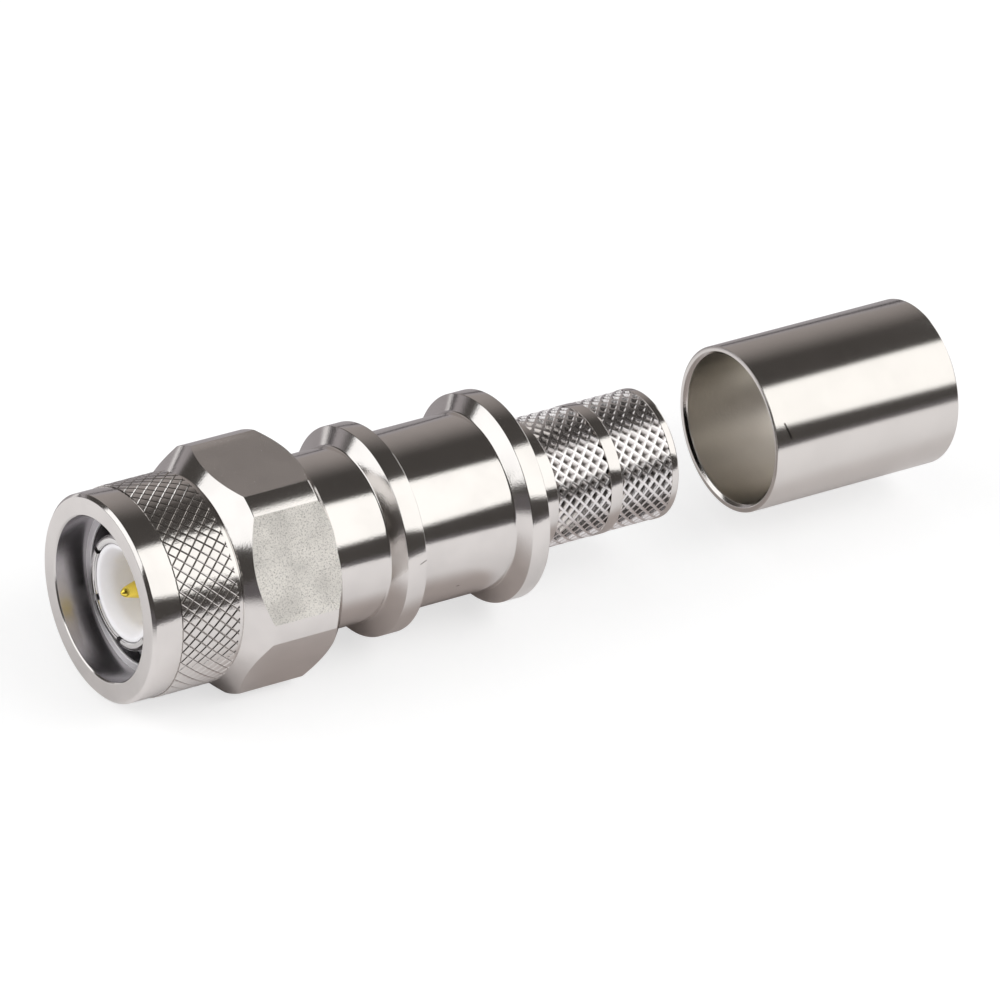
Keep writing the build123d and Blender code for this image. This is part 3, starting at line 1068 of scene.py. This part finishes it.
@dataclass
class MatingEnd:
    """What stands in the nut's mouth: outer contact, insulating cup and centre pin."""

    contact_wall: float = 0.58
    nose: float = 0.2
    slots: int = 3
    slot_width: float = 0.45
    slot_depth: float = 4.6
    slot_degrees: float = 25.0
    cup_lip: float = 0.35
    funnel_depth: float = 0.8
    cup_radius: float = 2.55
    cup_depth: float = 5.3
    pin_radius: float = 0.675
    tip_length: float = 1.45
    nose_length: float = 0.28
    nose_radius: float = 0.36
    tip_radius: float = 0.12
    pin_room: float = 0.02
    wire_bore: float = 1.4
    wire_bore_depth: float = 5.6

    def contact(self) -> Object:
        """Make the outer contact, a sleeve slotted into six spring fingers."""
        start, end, radius = span(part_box("outer_contact"))
        bore = radius - self.contact_wall
        sleeve = lathe(
            "outer_contact_sleeve",
            [
                (start, radius - self.nose, 0.08),
                (start + self.nose, radius, 0.08),
                (end, radius),
                (end, bore),
                (start, bore, 0.1),
            ],
            around=128,
        )
        cutters = []
        size = Matrix.Diagonal((2 * self.slot_depth * MM, 4 * radius * MM, self.slot_width * MM, 1))
        for index in range(self.slots):
            turn = Matrix.Rotation(radians(self.slot_degrees + 180 / self.slots * index), 4, "X")
            cutter = bmesh.new()
            place = Matrix.Translation((start * MM, 0, 0)) @ turn @ size
            bmesh.ops.create_cube(cutter, size=1.0, matrix=place)
            cutters.append(to_object("slot_cutter", cutter))
        subtract(sleeve, cutters)
        return sleeve

    def cup(self) -> Object:
        """Make the insulating cup."""
        start, end, radius = span(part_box("front_insulator"))
        bore = self.pin_radius + self.pin_room
        return lathe(
            "front_insulator_cup",
            [
                (start, radius, 0.08),
                (end, radius),
                (end, bore),
                (start + self.cup_depth, bore),
                (start + self.cup_depth, self.cup_radius, 0.5),
                (start + self.funnel_depth, self.cup_radius, 0.45),
                (start, radius - self.cup_lip, 0.25),
            ],
            around=192,
        )

    def pin(self) -> Object:
        """Make the pointed centre pin with its wire barrel."""
        start, end, barrel = span(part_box("centre_contact"))
        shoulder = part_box("front_insulator")[1].x / MM
        return lathe(
            "centre_contact_pin",
            [
                (start, 0),
                (start, self.tip_radius, 0.1),
                (start + self.nose_length, self.nose_radius, 0.2),
                (start + self.tip_length, self.pin_radius, 0.3),
                (shoulder, self.pin_radius),
                (shoulder, barrel),
                (end, barrel, 0.1),
                (end, self.wire_bore, 0.1),
                (end - self.wire_bore_depth, self.wire_bore),
                (end - self.wire_bore_depth, 0),
            ],
            around=96,
        )

    def build(self) -> None:
        """Make the pieces and dress the CAD nodes beside them."""
        dress(self.contact(), Body.PLUG, (CONTACT,), ("outer_contact",))
        dress(self.cup(), Body.PLUG, (PTFE,), ("front_insulator",))
        dress(self.pin(), Body.PLUG, (GOLD,), ("centre_contact",))
        dress_node("gasket", SILICONE)
        dress_node("snap_ring", SPRING)
        dress_node("rear_insulator", PTFE)


@dataclass
class Ferrule:
    """The crimp ferrule, a thin plain tube."""

    wall: float = 0.6
    edge: float = 0.1
    inner_bevel: float = 0.25

    def build(self) -> None:
        """Make the tube."""
        start, end, radius = span(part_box("crimp_ferrule"))
        bore = radius - self.wall
        tube = lathe(
            "crimp_ferrule_tube",
            [
                (start, radius, self.edge),
                (end, radius, self.edge),
                (end, bore + self.inner_bevel, 0.05),
                (end - self.inner_bevel, bore, 0.1),
                (start + self.inner_bevel, bore, 0.1),
                (start, bore + self.inner_bevel, 0.05),
            ],
        )
        paint_inside(tube, bore + SKIN_MM, start, end, 1)
        dress(tube, Body.FERRULE, (TUBE, TUBE_INSIDE), ("crimp_ferrule",))


@dataclass(frozen=True)
class Panel:
    """A soft-edged rectangle of light in the studio, seen from the object."""

    centre: Triple
    upward: Triple
    half_width: float
    half_height: float
    edge: float
    colour: Triple

    def mask(self, graph: Graph, direction: NodeSocket) -> Value:
        """Return 1 where a direction meets the panel and 0 beside it.

        Args:
            graph: The world's graph.
            direction: The direction.

        Returns:
            The mask.
        """
        middle = Vector(self.centre).normalized()
        upward = Vector(self.upward)
        upward = (upward - upward.dot(middle) * middle).normalized()
        sideways = upward.cross(middle)
        depth = graph.measure("DOT_PRODUCT", direction, middle)
        across = graph.math("ABSOLUTE", graph.measure("DOT_PRODUCT", direction, sideways) / depth)
        along = graph.math("ABSOLUTE", graph.measure("DOT_PRODUCT", direction, upward) / depth)
        inside = graph.smooth(self.half_width - across, -self.edge, self.edge)
        level = graph.smooth(self.half_height - along, -self.edge, self.edge)
        return inside * level * graph.math("GREATER_THAN", depth, 0.0)


@dataclass(frozen=True)
class Zone:
    """A soft-edged region. Each limit is an axis number, where it is clear and where it is full."""

    limits: tuple[tuple[int, float, float], ...]

    def mask(self, graph: Graph, parts: Sequence[Value]) -> Value:
        """Return 1 inside the region and 0 beyond its limits.

        Args:
            graph: The graph.
            parts: The place's three numbers.

        Returns:
            The mask.
        """
        whole, *others = [graph.smooth(parts[axis], clear, full) for axis, clear, full in self.limits]
        for other in others:
            whole = whole * other
        return whole


@dataclass
class Studio:
    """The floor, the light and the camera. Zones of the floor are in metres."""

    sensor: float = 36.0
    lens: float = 288.0
    azimuth: float = -36.52
    elevation: float = 32.365
    roll: float = 6.49
    target: Triple = (32.55, 0.0, -0.75)
    distance: float = 556.0
    soft_level: float = 0.55
    lamp_watts: Pair = (1.6, 1.7)
    lamp_distance: float = 0.6
    lamp_size: Pair = (0.5, 0.35)
    dark: Triple = (0.074, 0.068, 0.064)
    back_wall: Triple = (0.40, 0.365, 0.35)
    floor_colour: Triple = (0.96, 0.94, 0.945)
    # Floor tones for reflections only: painted shadow under the plug, painted shade behind and far from
    # it.
    shadow_under_floor: Triple = (0.62, 0.56, 0.54)
    far_floor: Triple = (0.40, 0.375, 0.385)
    edge_floor: Triple = (0.13, 0.12, 0.125)
    camera_floor: float = 0.45
    camera_lift: float = 0.63
    floor_reach: float = 3.0
    tube_share: float = 0.65
    back: Zone = Zone(((1, 0.34, 0.93), (0, -0.35, 0.15)))
    horizon: Zone = Zone(((2, 0.16, 0.06), (1, 0.3, 0.8)))
    below: Zone = Zone(((2, 0.01, -0.01),))
    under: Zone = Zone(((1, -0.013, -0.007), (1, 0.01, 0.004), (0, 0.003, 0.013)))
    neck: Zone = Zone(((0, 0.0305, 0.032), (0, 0.039, 0.036)))
    tube: Zone = Zone(((0, 0.048, 0.054),))
    behind: Zone = Zone(((1, 0.018, 0.026), (0, -0.006, 0.004)))
    open_floor: Zone = Zone(((0, -0.05, -0.015), (0, 0.15, 0.11), (1, -0.15, -0.1)))
    panels: tuple[Panel, ...] = (
        Panel((0.503, -0.547, 0.669), (0, 0.774, 0.633), 0.8, 0.4625, 0.06, (1.42, 1.41, 1.38)),
        Panel((-0.832, 0.295, 0.469), (0, 0, 1), 0.566, 0.4, 0.03, (1.42, 1.42, 1.42)),
        Panel((0.857, 0.214, 0.36), (0, 0, 1), 0.22, 0.33, 0.03, (1.42, 1.42, 1.42)),
    )

    def camera(self) -> None:
        """Place the camera at the photograph's viewing angle."""
        azimuth, elevation = radians(self.azimuth), radians(self.elevation)
        ahead = Vector((-sin(azimuth) * cos(elevation), cos(azimuth) * cos(elevation), -sin(elevation)))
        level = Vector((cos(azimuth), sin(azimuth), 0))
        upright = level.cross(ahead)
        roll = radians(self.roll)
        right = level * cos(roll) + upright * sin(roll)
        up = right.cross(ahead)
        place = Vector(self.target) * MM - ahead * self.distance * MM
        data = bpy.data.cameras.new("camera")
        data.lens = self.lens
        data.sensor_width = self.sensor
        data.clip_start = 0.01
        data.clip_end = 20.0
        camera = add_object("camera", data)
        columns = Matrix((right, up, -ahead)).transposed()
        camera.matrix_world = Matrix.Translation(place) @ columns.to_4x4()
        bpy.context.scene.camera = camera

    def world(self) -> None:
        """Build the studio's light: white to the camera, panels to glossy rays, even elsewhere."""
        world = bpy.data.worlds.new("studio")
        world.use_nodes = True
        world.node_tree.nodes.clear()
        world.cycles.sampling_method = "NONE"
        bpy.context.scene.world = world
        graph = Graph(world.node_tree)
        direction = graph.node("ShaderNodeTexCoord").outputs["Generated"]
        parts = graph.split(direction)
        colour = graph.mix(self.back.mask(graph, parts), self.dark, self.back_wall)
        colour = graph.mix(self.horizon.mask(graph, parts), colour, self.far_floor)
        for panel in self.panels:
            colour = graph.mix(panel.mask(graph, direction), colour, panel.colour)
        colour = graph.mix(self.below.mask(graph, parts), colour, self.far_floor)
        light = graph.node("ShaderNodeLightPath")
        colour = graph.mix(light.outputs["Is Glossy Ray"], (self.soft_level,) * 3, colour)
        colour = graph.mix(light.outputs["Is Camera Ray"], colour, WHITE)
        shine = graph.node("ShaderNodeBackground", None, {"Color": colour, "Strength": 1.0})
        graph.node("ShaderNodeOutputWorld", None, {"Surface": shine.outputs[0]})

    def lamps(self) -> None:
        """Add a soft lamp in front of each bright panel, for the white plastic's shading."""
        for panel, energy in zip(self.panels, self.lamp_watts):
            data = bpy.data.lights.new("softbox", "AREA")
            data.shape = "RECTANGLE"
            data.size, data.size_y = self.lamp_size
            data.energy = energy
            lamp = add_object("softbox", data)
            direction = Vector(panel.centre).normalized()
            turn = direction.to_track_quat("Z", "Y").to_matrix().to_4x4()
            lamp.matrix_world = Matrix.Translation(direction * self.lamp_distance) @ turn
            lamp.visible_glossy = False

    def floor(self) -> None:
        """Lay the pale floor. Only its reflections are darker: a painted shadow under the plug, and
        painted shade behind and far from it.
        """
        height = CAD_BOX[0][2]
        mesh = bmesh.new()
        bmesh.ops.create_grid(mesh, x_segments=1, y_segments=1, size=self.floor_reach)
        bmesh.ops.translate(mesh, verts=mesh.verts[:], vec=(0, 0, height))
        floor = to_object("floor", mesh)
        for polygon in floor.data.polygons:
            if polygon.normal.z < 0:
                polygon.flip()
        material, graph, shader = new_material("pale_floor")
        parts = graph.split(graph.place())
        light = graph.node("ShaderNodeLightPath")
        # Painted shadow in the reflections: darker under the plug, except under the neck and partly
        # under the ferrule, and painted shade behind and far from it.
        bare = 1.0 - self.neck.mask(graph, parts) - self.tube.mask(graph, parts) * self.tube_share
        under = self.under.mask(graph, parts) * bare
        tone = graph.mix(under, self.floor_colour, self.shadow_under_floor)
        tone = graph.mix(self.behind.mask(graph, parts), tone, self.far_floor)
        tone = graph.mix(self.open_floor.mask(graph, parts), self.edge_floor, tone)
        seen = light.outputs["Is Camera Ray"]
        plain = graph.mix(seen, self.floor_colour, (self.camera_floor,) * 3)
        tone = graph.mix(light.outputs["Is Glossy Ray"], plain, tone)
        lift = graph.mix(seen, BLACK, (self.camera_lift,) * 3)
        graph.fill(shader, {"Base Color": tone, "Roughness": 1.0, "Specular IOR Level": 0.0})
        graph.fill(shader, {"Emission Color": lift, "Emission Strength": 1.0})
        floor.data.materials.append(material)

    def build(self) -> None:
        """Set the view and add the camera, the light and the floor."""
        bpy.context.scene.view_settings.view_transform = "Standard"
        self.camera()
        self.world()
        self.lamps()
        self.floor()


def main() -> None:
    """Build the studio, then every piece."""
    logging.basicConfig(level=logging.INFO, format="%(message)s")
    Studio().build()
    for assembly in (CouplingNut(), PlugBody(), MatingEnd(), Ferrule()):
        assembly.build()


if __name__ == "__main__":
    main()
